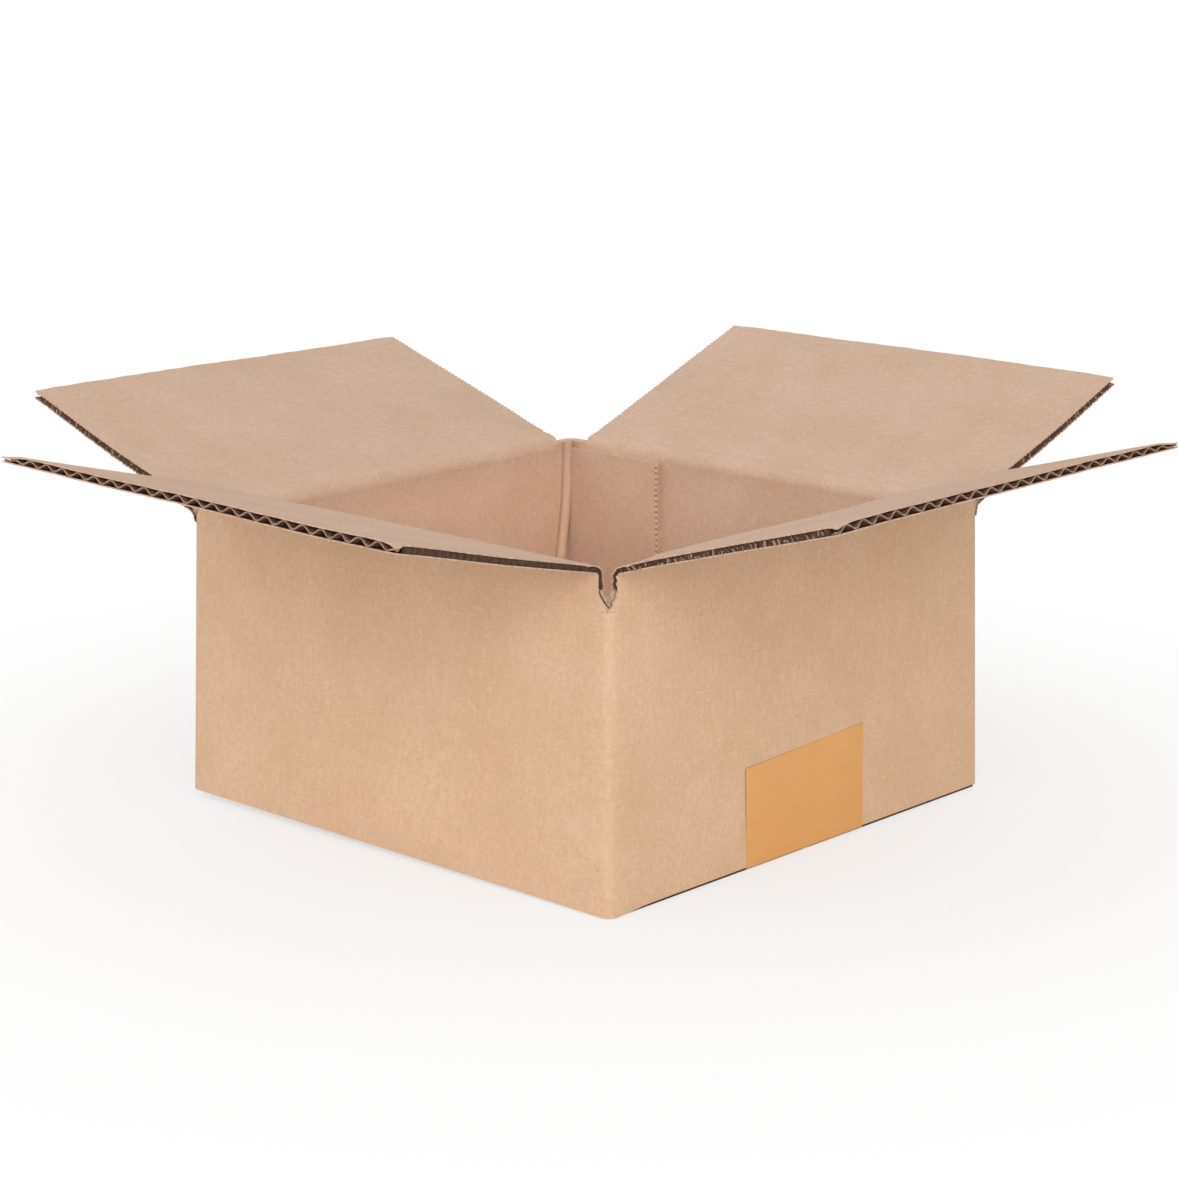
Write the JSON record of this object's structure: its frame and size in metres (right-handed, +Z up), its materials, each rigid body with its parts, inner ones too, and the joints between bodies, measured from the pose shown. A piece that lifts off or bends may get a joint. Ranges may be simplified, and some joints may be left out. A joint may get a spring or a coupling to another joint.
{
  "type": "corrugated shipping box",
  "caption": "Small square corrugated cardboard shipping box, open, with lifted top flaps that fold at their scores and a taped bottom.",
  "frame": {"origin": "centre of the footprint on the ground, under the closing tape", "axes": "+Z up, -Y towards the front wall, +X towards the right wall, which the bottom tape turns up on"},
  "size_m": [0.2952, 0.2951, 0.1097],
  "materials": {
    "corrugated_board": "matte",
    "kraft_tape": "satin"
  },
  "bodies": {
    "box": {"box_body": "corrugated_board", "sealing_tape": "kraft_tape"},
    "front_flap": {"top_flap_front": "corrugated_board"},
    "right_flap": {"top_flap_right": "corrugated_board"},
    "back_flap": {"top_flap_back": "corrugated_board"},
    "left_flap": {"top_flap_left": "corrugated_board"}
  },
  "joints": [
    {"name": "front_flap_fold", "type": "hinge", "parent": "box", "child": "front_flap", "pos_m": [0, -0.078, 0.0856], "axis": [-1, 0, 0], "range_deg": [-97, 165.4]},
    {"name": "right_flap_fold", "type": "hinge", "parent": "box", "child": "right_flap", "pos_m": [0.078, 0, 0.0824], "axis": [0, -1, 0], "range_deg": [-103, 159.7]},
    {"name": "back_flap_fold", "type": "hinge", "parent": "box", "child": "back_flap", "pos_m": [0, 0.078, 0.0856], "axis": [1, 0, 0], "range_deg": [-98, 164.9]},
    {"name": "left_flap_fold", "type": "hinge", "parent": "box", "child": "left_flap", "pos_m": [-0.078, 0, 0.0824], "axis": [0, 1, 0], "range_deg": [-97, 165.5]}
  ]
}
